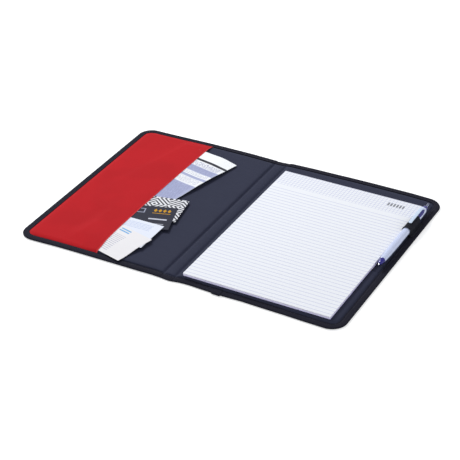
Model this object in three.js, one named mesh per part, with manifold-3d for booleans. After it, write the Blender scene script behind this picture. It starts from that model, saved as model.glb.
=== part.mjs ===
// Conference folder, lying open, with an A4 writing pad, a click pen and papers in its pocket.
// Millimetres, +Z up. +X runs from the front cover to the back cover, +Y to the head of the pad.
// The origin is below the middle of the open folder, on the surface that it lies on.

import * as THREE from 'three';
import { mergeVertices } from 'three/addons/utils/BufferGeometryUtils.js';
import Module from 'manifold-3d';

const wasm = await Module();
wasm.setup();

// Covers and spine
const frontWidth = 222.5;
const spineWidth = 17.5;
const coverHeight = 342;
const cornerRadius = 21;
const innerCornerRadius = 3;
const cardCornerRadius = 0.6;
const creaseGap = 0.3;
const foldClearance = 0.3;

// Layers, from the outside of a cover to its inside
const skinThickness = 1.3;
const boardThickness = 1.6;
const paddingThickness = 0.9;
const liningThickness = 0.4;
const spineBoardThickness = 0.8;
const layGap = 0.1;

// Binding tape, folded round every outer edge
const tapeThickness = 0.7;
const bindingWidth = 9;
const bindingRounding = 1.2;

// How far the stiffeners stay inside the binding and the creases
const boardMargin = 3.4;
const boardCreaseMargin = 2;
const paddingMargin = 1.8;
const paddingShoulder = 3.4;
const paddingCreaseMargin = 1.4;
const spineBoardMargin = 1.6;
const skinStep = 2.2;

// Pocket on the front cover
const pocketThickness = 0.4;
const pocketWidth = 119.2;
const pocketMouthSag = 2.5;
const pocketMouthRun = 3.6;
const pocketBackSlope = 17;

// Writing pad and the pocket that holds its card, with the pen's bay at the pad's right
const padWidth = 210;
const padHeight = 297;
const padThickness = 4.3;
const padLeft = 9.9;
const penBay = 20.1;
const padTailMargin = 2.65;
const padCardThickness = 0.8;
const padPocketHeight = 127;
const topSheetThickness = 0.15;
const gumThickness = 0.4;

// Pen loop
const loopBore = 11;
const loopThickness = 0.6;
const loopWidth = 36;
const loopTail = 66;
const loopFootWidth = 5.5;
const loopSideGap = 0.3;

// Click pen; its lengths are counted from the seam between the tip and the barrel
const penSeam = -12.5;
const mechanismLength = 23.5;
const frontTaper = 70;
const tailTaper = 29.5;
const tailShoulder = 11.5;
const tailRounding = 3;
const barrelRadius = 5.3;
const barrelFrontRadius = 4.1;
const barrelEndRadius = 3.9;
const penBore = 6.2;
const penFit = 0.1;
const tipLength = 11;
const tipMouthRadius = 1.75;
const nibRadius = 1.15;
const nibReach = 3;
const refillRadius = 1.5;
const refillStart = 7;
const refillLength = 111;
const buttonRadius = 1.6;
const buttonReach = 12;
const collarRadius = 3.6;
const collarLength = 5.2;
const collarSpigot = 7.5;
const clipWidth = 5.2;
const clipThickness = 1;
const clipLength = 48;
const clipRootLength = 7;
const clipSetback = 3.5;
const insertLength = 17.5;
const insertSetback = 5;
const insertDepth = 0.8;
const springRadius = 2;
const springWire = 0.28;
const springTurns = 7;

// Papers that stand out of the pocket: the corner at the upper right, size and turn of each
const paperThickness = 0.25;
const paperTilt = 1.1;
const paperBackMargin = 33;
const leafletSize = [99, 210];
const leafletCorner = [-62, 123];
const leafletTurn = -14.2;
const patternedSize = [90, 58];
const patternedCorner = [-72.5, 3.2];
const patternedTurn = 10;
const darkSize = [90, 57];
const darkCorner = [-76.6, -21.1];
const darkTurn = 16;
const paleSize = [90, 60];
const paleCorner = [-69.7, -71.3];
const paleTurn = -0.6;
const noteSize = [90, 62];
const noteCorner = [-67.2, -108.3];
const noteTurn = -15;

// Smoothness
const cornerSteps = 8;
const latheSteps = 28;

// Levels, worked out from the layers
const flangeLow = tapeThickness + layGap;
const skinTop = skinThickness;
const hingeHeight = skinTop + layGap / 2;
const boardLow = skinTop + layGap;
const boardTop = boardLow + boardThickness;
const paddingLow = boardTop + layGap;
const paddingTop = paddingLow + paddingThickness;
const liningLow = paddingTop + layGap;
const liningTop = liningLow + liningThickness;
const liningFlangeTop = boardLow + liningThickness;
const pocketFlangeLow = liningFlangeTop + layGap;
const pocketFlangeTop = pocketFlangeLow + pocketThickness;
const coverEdge = pocketFlangeTop + layGap + tapeThickness;
const spineEdge = liningFlangeTop + layGap + tapeThickness;
const spineBoardTop = boardLow + spineBoardThickness;
const spineLiningTop = spineBoardTop + layGap + liningThickness;
const spineTop = Math.max(spineEdge, spineLiningTop);

// Insets, counted inwards from the outer edge
const backWidth = padLeft + padWidth + penBay;
const halfHeight = coverHeight / 2;
const flangeInset = tapeThickness + layGap;
const boardInset = bindingWidth + boardMargin;
const paddingInset = boardInset + paddingMargin;
const creaseStart = spineTop - hingeHeight + foldClearance;
const boardCrease = creaseStart + boardCreaseMargin;
const paddingCrease = boardCrease + paddingCreaseMargin;

// Builders

function toSolid(geometry) {
  const bare = geometry.clone();
  bare.deleteAttribute('normal');
  bare.deleteAttribute('uv');
  const merged = mergeVertices(bare, 1e-5);
  return new wasm.Manifold(new wasm.Mesh({
    numProp: 3,
    vertProperties: new Float32Array(merged.attributes.position.array),
    triVerts: new Uint32Array(merged.index.array),
  }));
}

function toGeometry(solid) {
  const mesh = solid.getMesh();
  const geometry = new THREE.BufferGeometry();
  geometry.setAttribute('position', new THREE.BufferAttribute(new Float32Array(mesh.vertProperties), 3));
  geometry.setIndex([...mesh.triVerts]);
  geometry.computeVertexNormals();
  return geometry;
}

function signedVolume(points, faces) {
  let sum = 0;
  for (const [a, b, c] of faces) {
    const p = points[a];
    const q = points[b];
    const r = points[c];
    sum += p[0] * (q[1] * r[2] - q[2] * r[1]);
    sum += p[1] * (q[2] * r[0] - q[0] * r[2]);
    sum += p[2] * (q[0] * r[1] - q[1] * r[0]);
  }
  return sum / 6;
}

function meshFrom(points, faces) {
  const outward = signedVolume(points, faces) > 0;
  const index = faces.flatMap(([a, b, c]) => (outward ? [a, b, c] : [a, c, b]));
  const geometry = new THREE.BufferGeometry();
  geometry.setAttribute('position', new THREE.Float32BufferAttribute(points.flat(), 3));
  geometry.setIndex(index);
  geometry.computeVertexNormals();
  return geometry;
}

// Triangles over one flat ring of points, turned the way the ring runs
function capFaces(ring, offset) {
  const normal = [0, 0, 0];
  ring.forEach((p, i) => {
    const q = ring[(i + 1) % ring.length];
    normal[0] += (p[1] - q[1]) * (p[2] + q[2]);
    normal[1] += (p[2] - q[2]) * (p[0] + q[0]);
    normal[2] += (p[0] - q[0]) * (p[1] + q[1]);
  });
  const size = normal.map(Math.abs);
  const drop = size.indexOf(Math.max(...size));
  const u = (drop + 1) % 3;
  const v = (drop + 2) % 3;
  const flat = ring.map((p) => new THREE.Vector2(p[u], p[v]));
  const ringSign = Math.sign(THREE.ShapeUtils.area(flat));
  return THREE.ShapeUtils.triangulateShape(flat, []).map((face) => {
    const sign = Math.sign(THREE.ShapeUtils.area(face.map((i) => flat[i])));
    const turned = sign === ringSign ? face : [face[0], face[2], face[1]];
    return turned.map((i) => i + offset);
  });
}

// A closed body through a stack of rings with the same number of points
function loft(rings) {
  const count = rings[0].length;
  const points = rings.flat();
  const last = (rings.length - 1) * count;
  const faces = capFaces(rings[0], 0).map(([a, b, c]) => [a, c, b]);
  faces.push(...capFaces(rings[rings.length - 1], last));
  for (let k = 0; k < rings.length - 1; k++) {
    for (let i = 0; i < count; i++) {
      const a = k * count + i;
      const b = k * count + ((i + 1) % count);
      faces.push([a, b, b + count], [a, b + count, a + count]);
    }
  }
  return meshFrom(points, faces);
}

// Outline of a cover, seen from above: s runs from the crease to the fore-edge
function coverOutline(width, { side, end = side, crease, level, corner }) {
  const rx = corner ?? Math.max(cornerRadius - side, innerCornerRadius);
  const ry = corner ?? Math.max(cornerRadius - end, innerCornerRadius);
  const cx = width - side - rx;
  const cy = halfHeight - end - ry;
  const path = [[crease, -(halfHeight - end)]];
  for (let k = 0; k <= cornerSteps; k++) {
    const angle = (k / cornerSteps) * (Math.PI / 2);
    path.push([cx + rx * Math.sin(angle), -cy - ry * Math.cos(angle)]);
  }
  for (let k = 0; k <= cornerSteps; k++) {
    const angle = (k / cornerSteps) * (Math.PI / 2);
    path.push([cx + rx * Math.cos(angle), cy + ry * Math.sin(angle)]);
  }
  path.push([crease, halfHeight - end]);
  return path.map(([s, y]) => [s, y, typeof level === 'function' ? level(s) : level]);
}

function coverLayer(width, steps) {
  return loft(steps.map((step) => coverOutline(width, step)));
}

// The folded tape's section: inset from the edge, then height
function tapeSection(edge) {
  const inner = tapeThickness;
  return [
    [bindingWidth, 0],
    [bindingRounding, 0],
    [bindingRounding * 0.3, bindingRounding * 0.35],
    [0, bindingRounding],
    [0, edge - bindingRounding],
    [bindingRounding * 0.3, edge - bindingRounding * 0.35],
    [bindingRounding, edge],
    [bindingWidth, edge],
    [bindingWidth, edge - tapeThickness],
    [inner, edge - tapeThickness],
    [inner, tapeThickness],
    [bindingWidth, tapeThickness],
  ];
}

function coverBinding(width) {
  const stations = tapeSection(coverEdge).map(([inset, z]) =>
    coverOutline(width, { side: inset, crease: creaseStart, level: z }));
  const count = stations[0].length;
  const rings = [];
  for (let i = 0; i < count; i++) {
    rings.push(stations.map((station) => station[i]));
  }
  return loft(rings);
}

// A body with one section in Y and Z, run along X
function slabAlongX(section, x0, x1) {
  return loft([x0, x1].map((x) => section.map(([y, z]) => [x, y, z])));
}

function plate(x0, x1, y0, y1, z0, z1) {
  const geometry = new THREE.BoxGeometry(x1 - x0, y1 - y0, z1 - z0);
  geometry.translate((x0 + x1) / 2, (y0 + y1) / 2, (z0 + z1) / 2);
  return geometry;
}

function extrudeUp(shape, z0, z1) {
  const geometry = new THREE.ExtrudeGeometry(shape, {
    depth: z1 - z0, bevelEnabled: false, curveSegments: 12,
  });
  geometry.translate(0, 0, z0);
  return geometry;
}

function shapeFrom(points) {
  return new THREE.Shape(points.map(([x, y]) => new THREE.Vector2(x, y)));
}

function lathe(profile) {
  const points = profile.map(([r, a]) => new THREE.Vector2(r, a));
  return new THREE.LatheGeometry(points, latheSteps);
}

// Moves a cover's shape from its own frame to the front cover's place, left of the spine
function toFront(geometry) {
  const source = geometry.index ? geometry : mergeVertices(geometry);
  const position = source.attributes.position;
  const points = [];
  for (let i = 0; i < position.count; i++) {
    points.push([-spineWidth - position.getX(i), position.getY(i), position.getZ(i)]);
  }
  const index = source.index.array;
  const faces = [];
  for (let i = 0; i < index.length; i += 3) {
    faces.push([index[i], index[i + 1], index[i + 2]]);
  }
  return meshFrom(points, faces);
}

const folder = new THREE.Group();
folder.position.x = (spineWidth + frontWidth - backWidth) / 2;

function addPiece(name, geometry, { color, roughness, metalness = 0 }, parent = folder) {
  const material = new THREE.MeshStandardMaterial({ color, roughness, metalness });
  const mesh = new THREE.Mesh(geometry, material);
  mesh.name = name;
  parent.add(mesh);
  return mesh;
}

// Finishes
const skinFinish = { color: 0x24252b, roughness: 0.6 };
const boardFinish = { color: 0x9a8f7c, roughness: 0.95 };
const paddingFinish = { color: 0xd9d6cc, roughness: 1 };
const liningFinish = { color: 0x34394a, roughness: 0.85 };
const tapeFinish = { color: 0x1b1c22, roughness: 0.8 };
const pocketFinish = { color: 0xbe2830, roughness: 0.8 };
const loopFinish = { color: 0x17171c, roughness: 0.9 };
const paperFinish = { color: 0xeef2fa, roughness: 0.9 };
const cardFinish = { color: 0xa59c8c, roughness: 0.95 };
const gumFinish = { color: 0xd7d9e6, roughness: 0.6 };
const whitePlastic = { color: 0xeff3fb, roughness: 0.3 };
const clipPlastic = { color: 0xd6e4f4, roughness: 0.25 };
const navyPlastic = { color: 0x26266e, roughness: 0.3 };
const steelFinish = { color: 0xb9bcc2, roughness: 0.3, metalness: 1 };
const refillFinish = { color: 0xd8dcec, roughness: 0.4 };
const leafletFinish = { color: 0xd4d8ee, roughness: 0.6 };
const patternedFinish = { color: 0xb8bac2, roughness: 0.5 };
const darkCardFinish = { color: 0x45474f, roughness: 0.5 };
const paleFinish = { color: 0xe6edf8, roughness: 0.7 };
const noteFinish = { color: 0xefedee, roughness: 0.8 };

// Cover layers, the same for both covers but for the width

function outerSkin(width) {
  const edge = creaseGap / 2;
  return coverLayer(width, [
    { side: boardInset, crease: edge + 0.6, level: 0 },
    { side: boardInset - skinStep, crease: edge + 0.3, level: flangeLow },
    { side: flangeInset, crease: edge, level: flangeLow },
    { side: flangeInset, crease: edge, level: skinTop },
  ]);
}

function coverBoard(width) {
  return coverLayer(width, [
    { side: boardInset, crease: boardCrease, level: boardLow },
    { side: boardInset, crease: boardCrease, level: boardTop },
  ]);
}

function coverPadding(width) {
  const shoulder = paddingThickness * 0.45;
  return coverLayer(width, [
    { side: paddingInset, crease: paddingCrease, level: paddingLow },
    { side: paddingInset + 0.2, crease: paddingCrease + 0.2, level: paddingLow + shoulder },
    { side: paddingInset + paddingShoulder, crease: paddingCrease + 2.4, level: paddingTop },
  ]);
}

// The lining's steps over the edges of the board and the padding, as its outer side follows them
function liningSteps() {
  const slope = liningThickness * 0.85;
  const inner = [
    { side: boardInset - 1.4, crease: boardCrease - 1.1, level: boardLow },
    { side: boardInset - 0.4, crease: boardCrease - 0.4, level: boardTop + layGap },
    { side: paddingInset - 0.2, crease: paddingCrease - 0.2, level: liningLow - 0.35 },
    { side: paddingInset + paddingShoulder - 0.2, crease: paddingCrease + 2.2, level: liningLow },
  ];
  const rise = [liningThickness, liningThickness * 0.75, liningThickness, liningThickness];
  const shift = [slope, slope, layGap, layGap];
  const outer = inner.map((step, k) => ({
    side: step.side - shift[k], crease: step.crease - shift[k], level: step.level + rise[k],
  }));
  return { inner, outer };
}

function coverLining(width) {
  const { inner, outer } = liningSteps();
  return coverLayer(width, [
    ...[...inner].reverse(),
    { side: flangeInset, crease: creaseStart, level: boardLow },
    { side: flangeInset, crease: creaseStart, level: liningFlangeTop },
    ...outer,
  ]);
}

// A sheet that is sewn in under the binding and lifts off the lining inside it
function sewnSheet(width, lower, upper) {
  return coverLayer(width, [...[...lower].reverse(), ...upper]);
}

addPiece('back_outer_skin', outerSkin(backWidth), skinFinish);
addPiece('back_board', coverBoard(backWidth), boardFinish);
addPiece('back_padding', coverPadding(backWidth), paddingFinish);
addPiece('back_lining', coverLining(backWidth), liningFinish);
addPiece('back_binding', coverBinding(backWidth), tapeFinish);

addPiece('front_outer_skin', toFront(outerSkin(frontWidth)), skinFinish);
addPiece('front_board', toFront(coverBoard(frontWidth)), boardFinish);
addPiece('front_padding', toFront(coverPadding(frontWidth)), paddingFinish);
addPiece('front_lining', toFront(coverLining(frontWidth)), liningFinish);
addPiece('front_binding', toFront(coverBinding(frontWidth)), tapeFinish);

// Spine: a narrow strip between the two creases
const spineLeft = -spineWidth + creaseGap / 2;
const spineRight = -creaseGap / 2;

function spineSkin() {
  const low = halfHeight - boardInset;
  const step = low + skinStep;
  const edge = halfHeight - flangeInset;
  return slabAlongX([
    [-low, 0], [low, 0], [step, flangeLow], [edge, flangeLow], [edge, skinTop],
    [-edge, skinTop], [-edge, flangeLow], [-step, flangeLow],
  ], spineLeft, spineRight);
}

function spineRing(margin, inset, z) {
  const y = halfHeight - inset;
  const x0 = spineLeft + margin;
  const x1 = spineRight - margin;
  return [[x0, -y, z], [x1, -y, z], [x1, y, z], [x0, y, z]];
}

function spineLining() {
  const top = spineBoardTop + layGap;
  return loft([
    spineRing(spineBoardMargin - 0.3, boardInset - 0.6, top),
    spineRing(spineBoardMargin - 0.7, boardInset - 1.2, boardLow),
    spineRing(0, flangeInset, boardLow),
    spineRing(0, flangeInset, liningFlangeTop),
    spineRing(spineBoardMargin - 1.15, boardInset - 1.6, liningFlangeTop),
    spineRing(spineBoardMargin - 0.6, boardInset - 0.9, spineLiningTop),
  ]);
}

function spineBinding(sign) {
  const section = tapeSection(spineEdge).map(([inset, z]) => [sign * (halfHeight - inset), z]);
  return slabAlongX(section, spineLeft, spineRight);
}

addPiece('spine_outer_skin', spineSkin(), skinFinish);
addPiece('spine_board', plate(
  spineLeft + spineBoardMargin, spineRight - spineBoardMargin,
  -(halfHeight - boardInset), halfHeight - boardInset, boardLow, spineBoardTop,
), boardFinish);
addPiece('spine_lining', spineLining(), liningFinish);
addPiece('spine_head_binding', spineBinding(1), tapeFinish);
addPiece('spine_tail_binding', spineBinding(-1), tapeFinish);

// Papers lie on a plane that climbs slightly from the bottom of the pocket to its mouth
const tiltSlope = Math.tan(THREE.MathUtils.degToRad(paperTilt));
const paperStep = paperThickness + layGap;
const paperCount = 5;
const stackLow = liningTop + layGap;
const tiltStart = -spineWidth - (frontWidth - paperBackMargin);

function paperLevel(order, x) {
  return stackLow + order * paperStep + (x - tiltStart) * tiltSlope;
}

// Front pocket: a red sheet, sewn in on three sides, open towards the spine
const mouthDistance = frontWidth - pocketWidth;
const pocketCrease = mouthDistance / 2;

function pocketUnderside(s) {
  return paperLevel(paperCount, -spineWidth - s) + layGap;
}

function frontPocket() {
  const lower = [
    { side: flangeInset, crease: pocketCrease, level: pocketFlangeLow },
    { side: bindingWidth + 0.2, crease: pocketCrease + 1, level: pocketFlangeLow },
    {
      side: bindingWidth + 1.9, end: bindingWidth + pocketMouthRun * 0.25,
      crease: pocketCrease + 2, level: pocketFlangeLow + 1.5,
    },
    {
      side: bindingWidth + 5, end: bindingWidth + pocketMouthRun * 0.5,
      crease: pocketCrease + 3, level: pocketFlangeLow + 3,
    },
    {
      side: bindingWidth + pocketBackSlope, end: bindingWidth + pocketMouthRun,
      crease: pocketCrease + 4, level: pocketUnderside,
    },
  ];
  const shift = [0, 0.1, 0.35, 0.35, 0.35];
  const upper = lower.map((step, k) => ({
    side: step.side - shift[k],
    end: (step.end ?? step.side) - shift[k],
    crease: step.crease - shift[k],
    level: typeof step.level === 'function'
      ? (s) => step.level(s) + pocketThickness
      : step.level + pocketThickness,
  }));
  const sheet = toSolid(sewnSheet(frontWidth, lower, upper));
  const reach = halfHeight + 1;
  const end = halfHeight - bindingWidth;
  const waste = new THREE.Shape();
  waste.moveTo(-1, -reach);
  waste.lineTo(mouthDistance, -reach);
  waste.lineTo(mouthDistance, -end);
  waste.quadraticCurveTo(mouthDistance + 2 * pocketMouthSag, 0, mouthDistance, end);
  waste.lineTo(mouthDistance, reach);
  waste.lineTo(-1, reach);
  const cutter = toSolid(extrudeUp(waste, -1, liningTop + padThickness + 10));
  return toFront(toGeometry(sheet.subtract(cutter)));
}

addPiece('front_pocket', frontPocket(), pocketFinish);

// Pad pocket: a sheet across the tail of the back cover that takes the pad's card
const padRight = padLeft + padWidth;
const padTail = -(halfHeight - bindingWidth) + padTailMargin;
const padHead = padTail + padHeight;
const cardLow = liningTop + layGap;
const cardTop = cardLow + padCardThickness;
const padPocketLow = cardTop + layGap;
const padPocketTop = padPocketLow + pocketThickness;
const padPocketMouth = -halfHeight + bindingWidth + padPocketHeight;

function padPocket() {
  const { outer } = liningSteps();
  const over = layGap * 1.5;
  const lower = [
    { side: flangeInset, crease: creaseStart, level: pocketFlangeLow },
    { side: bindingWidth + 0.2, crease: creaseStart + 0.35, level: pocketFlangeLow },
    {
      side: bindingWidth + 1.9, end: bindingWidth + 0.9,
      crease: creaseStart + 0.8, level: pocketFlangeLow + 1.6,
    },
    {
      side: outer[2].side - 0.7, end: bindingWidth + 1.5,
      crease: outer[2].crease - 0.6, level: outer[2].level + over,
    },
    {
      side: outer[3].side - 0.4, end: bindingWidth + 1.9,
      crease: outer[3].crease - 0.3, level: outer[3].level + over,
    },
    {
      side: penBay - 0.5, end: bindingWidth + padTailMargin - 0.4,
      crease: padLeft - 0.4, level: padPocketLow, corner: cardCornerRadius,
    },
  ];
  const shift = [0, 0.1, 0.35, 0.4, 0.35, 0.4];
  const upper = lower.map((step, k) => ({
    side: step.side - shift[k],
    end: (step.end ?? step.side) - shift[k],
    crease: step.crease - shift[k] * (k > 1 ? 0.6 : 0.5),
    level: step.level + pocketThickness,
    corner: step.corner,
  }));
  const sheet = toSolid(sewnSheet(backWidth, lower, upper));
  const waste = plate(-1, backWidth + 1, padPocketMouth, halfHeight + 1, -1, padPocketTop + 1);
  return toGeometry(sheet.subtract(toSolid(waste)));
}

addPiece('pad_pocket', padPocket(), liningFinish);

// Writing pad: card, block of sheets with a relief over the pocket, top sheet and gummed head
const padTop = liningTop + layGap + padCardThickness + padThickness + layGap;
const topSheetLow = padTop - topSheetThickness;
const blockTop = topSheetLow - layGap;
const reliefStart = padPocketMouth + 2;
const reliefEnd = reliefStart + 2;

function padBlock() {
  return slabAlongX([
    [padTail, padPocketTop + layGap],
    [reliefStart, padPocketTop + layGap],
    [reliefEnd, cardTop + layGap],
    [padHead, cardTop + layGap],
    [padHead, blockTop],
    [padTail, blockTop],
  ], padLeft, padRight);
}

addPiece('pad_backing_card', plate(padLeft, padRight, padTail, padHead, cardLow, cardTop), cardFinish);
addPiece('pad_sheets', padBlock(), paperFinish);
addPiece('pad_top_sheet', plate(padLeft, padRight, padTail, padHead, topSheetLow, padTop), paperFinish);
addPiece('pad_gum_strip', plate(
  padLeft, padRight, padHead + layGap, padHead + layGap + gumThickness, cardLow, blockTop,
), gumFinish);

// Pen loop: a flat elastic band with its foot sewn over the binding's inner edge
const loopRadius = loopBore / 2 + loopThickness;
const penX = padRight + loopSideGap + loopRadius;
const penZ = liningTop + foldClearance + loopRadius;

function penLoop() {
  const footLeft = backWidth - bindingWidth;
  const footRight = footLeft + loopFootWidth;
  const footLow = coverEdge + layGap;
  const footTop = footLow + 2 * loopThickness;
  const start = THREE.MathUtils.degToRad(-6);
  const end = THREE.MathUtils.degToRad(285);
  const section = new THREE.Shape();
  section.moveTo(footRight, footLow);
  section.lineTo(footRight, footTop);
  section.lineTo(penX + loopRadius * Math.cos(start), penZ + loopRadius * Math.sin(start));
  section.absarc(penX, penZ, loopRadius, start, end, false);
  section.lineTo(footLeft, footLow);
  const bore = new THREE.Path();
  bore.absarc(penX, penZ, loopBore / 2, 0, Math.PI * 2, false);
  section.holes.push(bore);
  const band = new THREE.ExtrudeGeometry(section, {
    depth: loopWidth, bevelEnabled: false, curveSegments: 20,
  });
  band.rotateX(Math.PI / 2);
  band.translate(0, loopTail + loopWidth, 0);
  return band;
}

addPiece('pen_loop', penLoop(), loopFinish);

// Click pen, along +Y through the loop
const pen = new THREE.Group();
pen.position.set(penX, penSeam, penZ);
folder.add(pen);

const boreRadius = penBore / 2;
const spigotRadius = boreRadius - penFit;
const barrelLength = refillStart + refillLength + mechanismLength;
const clipRootEnd = barrelLength - clipSetback;
const clipRootStart = clipRootEnd - clipRootLength;
const clipStart = clipRootEnd - clipLength;
const insertEnd = barrelLength - insertSetback;
const insertStart = insertEnd - insertLength;

// Outer radius of the barrel at a distance from the seam
const barrelOutline = [
  [barrelFrontRadius, 0],
  [barrelRadius - 0.55, frontTaper * 0.2],
  [barrelRadius - 0.1, frontTaper * 0.57],
  [barrelRadius, frontTaper],
  [barrelRadius, barrelLength - tailTaper],
  [barrelRadius - 0.2, barrelLength - tailShoulder],
  [barrelRadius - 0.6, barrelLength - tailRounding],
  [barrelEndRadius, barrelLength],
];

function barrelSleeve(inwards, outwards) {
  const outer = barrelOutline.map(([r, a]) => [r + outwards, a]);
  const inner = [...barrelOutline].reverse().map(([r, a]) => [r - inwards, a]);
  return lathe([...outer, ...inner, outer[0]]);
}

// The coloured inset beside the clip's root, as a tapered outline seen from above
function insertPrism(margin) {
  const outline = shapeFrom([
    [0.9 - margin, insertStart + 2 - margin],
    [3.2 + margin, insertStart - margin],
    [4.4 + margin, insertEnd - 5],
    [3.9 + margin, insertEnd + margin],
    [0.4 - margin, insertEnd + margin],
  ]);
  return toSolid(extrudeUp(outline, 0.4, barrelRadius + 2));
}

function penBarrel() {
  const profile = [...barrelOutline, [boreRadius, barrelLength], [boreRadius, 0], barrelOutline[0]];
  const recess = toSolid(barrelSleeve(insertDepth + penFit, 1)).intersect(insertPrism(penFit));
  return toGeometry(toSolid(lathe(profile)).subtract(recess));
}

function penInsert() {
  return toGeometry(toSolid(barrelSleeve(insertDepth, 0)).intersect(insertPrism(0)));
}

function penTip() {
  const mouth = nibRadius + 0.15;
  const bore = springRadius + springWire + 0.27;
  return lathe([
    [mouth, -tipLength], [tipMouthRadius, -tipLength], [tipMouthRadius + 0.5, -tipLength + 1.2],
    [barrelFrontRadius - 0.75, -5], [barrelFrontRadius - 0.05, -penFit], [spigotRadius, -penFit],
    [spigotRadius, refillStart + 1], [bore, refillStart + 1], [bore, -4.5],
    [mouth, -tipLength + 4], [mouth, -tipLength],
  ]);
}

function penCollar() {
  const bore = buttonRadius + 0.3;
  const base = barrelLength + penFit;
  return lathe([
    [bore, barrelLength - collarSpigot], [spigotRadius, barrelLength - collarSpigot],
    [spigotRadius, base], [collarRadius, base], [collarRadius, base + collarLength - 0.5],
    [collarRadius - 0.4, base + collarLength], [bore, base + collarLength],
    [bore, barrelLength - collarSpigot],
  ]);
}

function penNib() {
  const end = -tipLength - nibReach;
  return lathe([
    [0, end], [0.35, end + 0.1], [0.45, end + 0.8], [nibRadius - 0.05, end + 2.8],
    [nibRadius, end + 8], [nibRadius, refillStart - layGap], [0, refillStart - layGap],
  ]);
}

function penRefill() {
  const flange = springRadius + 0.2;
  const end = refillStart + refillLength;
  return lathe([
    [0, refillStart], [flange, refillStart], [flange, refillStart + 2],
    [refillRadius, refillStart + 2.6], [refillRadius, end], [0, end],
  ]);
}

function penButton() {
  const start = refillStart + refillLength + layGap;
  const end = barrelLength + collarLength + buttonReach;
  const flange = boreRadius - 0.5;
  return lathe([
    [0, start], [flange, start], [flange, start + 5], [buttonRadius, start + 6],
    [buttonRadius, end - 0.8], [buttonRadius - 0.5, end], [0, end],
  ]);
}

// Return spring, round the nib inside the tip
function penSpring() {
  const start = -3.9;
  const end = refillStart - springWire - 0.3;
  class Helix extends THREE.Curve {
    getPoint(t, target = new THREE.Vector3()) {
      const angle = t * springTurns * Math.PI * 2;
      const x = springRadius * Math.cos(angle);
      const z = springRadius * Math.sin(angle);
      return target.set(x, start + (end - start) * t, z);
    }
  }
  const wire = new THREE.Shape();
  wire.absarc(0, 0, springWire, 0, Math.PI * 2, false);
  return new THREE.ExtrudeGeometry(wire, {
    steps: springTurns * 14, extrudePath: new Helix(), curveSegments: 3, bevelEnabled: false,
  });
}

// Clip: a blade over the loop with a root on the barrel and a small bump near its round end
function penClip() {
  const under = loopRadius + 0.8;
  const top = under + clipThickness;
  const bump = loopRadius + foldClearance;
  const seat = barrelRadius + 0.05;
  const side = shapeFrom([
    [clipStart, under], [clipStart + 1.5, under], [clipStart + 2.4, bump], [clipStart + 4.4, bump],
    [clipStart + 5.6, under], [clipRootStart - 3, under], [clipRootStart, under - 0.8],
    [clipRootStart, seat], [clipRootEnd, seat], [clipRootEnd, top - 1.2],
    [clipRootEnd - 1.4, top], [clipStart + 1, top], [clipStart, top - 0.4],
  ]);
  const blade = new THREE.ExtrudeGeometry(side, { depth: clipWidth, bevelEnabled: false });
  blade.rotateY(Math.PI / 2);
  blade.rotateX(Math.PI / 2);
  const half = clipWidth / 2;
  blade.translate(-half, 0, 0);
  const plan = new THREE.Shape();
  plan.moveTo(half, clipStart + half);
  plan.lineTo(half, clipRootEnd + 1);
  plan.lineTo(-half, clipRootEnd + 1);
  plan.lineTo(-half, clipStart + half);
  plan.absarc(0, clipStart + half, half, Math.PI, Math.PI * 2, false);
  return toGeometry(toSolid(blade).intersect(toSolid(extrudeUp(plan, 0, top + 1))));
}

addPiece('pen_barrel', penBarrel(), whitePlastic, pen);
addPiece('pen_insert', penInsert(), navyPlastic, pen);
addPiece('pen_tip', penTip(), navyPlastic, pen);
addPiece('pen_collar', penCollar(), navyPlastic, pen);
addPiece('pen_clip', penClip(), clipPlastic, pen);
addPiece('pen_spring', penSpring(), steelFinish, pen);
addPiece('pen_button', penButton(), clipPlastic, pen);
addPiece('pen_refill', penRefill(), refillFinish, pen);
addPiece('pen_nib', penNib(), steelFinish, pen);

// Papers in the pocket, lowest first; each lies on the tilted plane
function paper(order, [width, height], [cornerX, cornerY], turn) {
  const sheet = new THREE.BoxGeometry(width, height, paperThickness);
  sheet.translate(-width / 2, -height / 2, paperThickness / 2);
  sheet.rotateZ(THREE.MathUtils.degToRad(turn));
  sheet.translate(cornerX, cornerY, 0);
  const position = sheet.attributes.position;
  for (let i = 0; i < position.count; i++) {
    position.setZ(i, position.getZ(i) + paperLevel(order, position.getX(i)));
  }
  return sheet;
}

addPiece('leaflet', paper(0, leafletSize, leafletCorner, leafletTurn), leafletFinish);
addPiece('patterned_card', paper(1, patternedSize, patternedCorner, patternedTurn), patternedFinish);
addPiece('dark_card', paper(2, darkSize, darkCorner, darkTurn), darkCardFinish);
addPiece('pale_card', paper(3, paleSize, paleCorner, paleTurn), paleFinish);
addPiece('note_card', paper(4, noteSize, noteCorner, noteTurn), noteFinish);

export default folder;
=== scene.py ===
# Conference folder lying open: padded covers with a taped edge, red pocket with papers,
# writing pad and click pen. Lengths in the dictionaries are millimetres in the model's frame,
# but flat sizes, lamp sizes and the floor's are metres.
import math

import bpy
import numpy as np
from mathutils import Matrix, Vector


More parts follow.
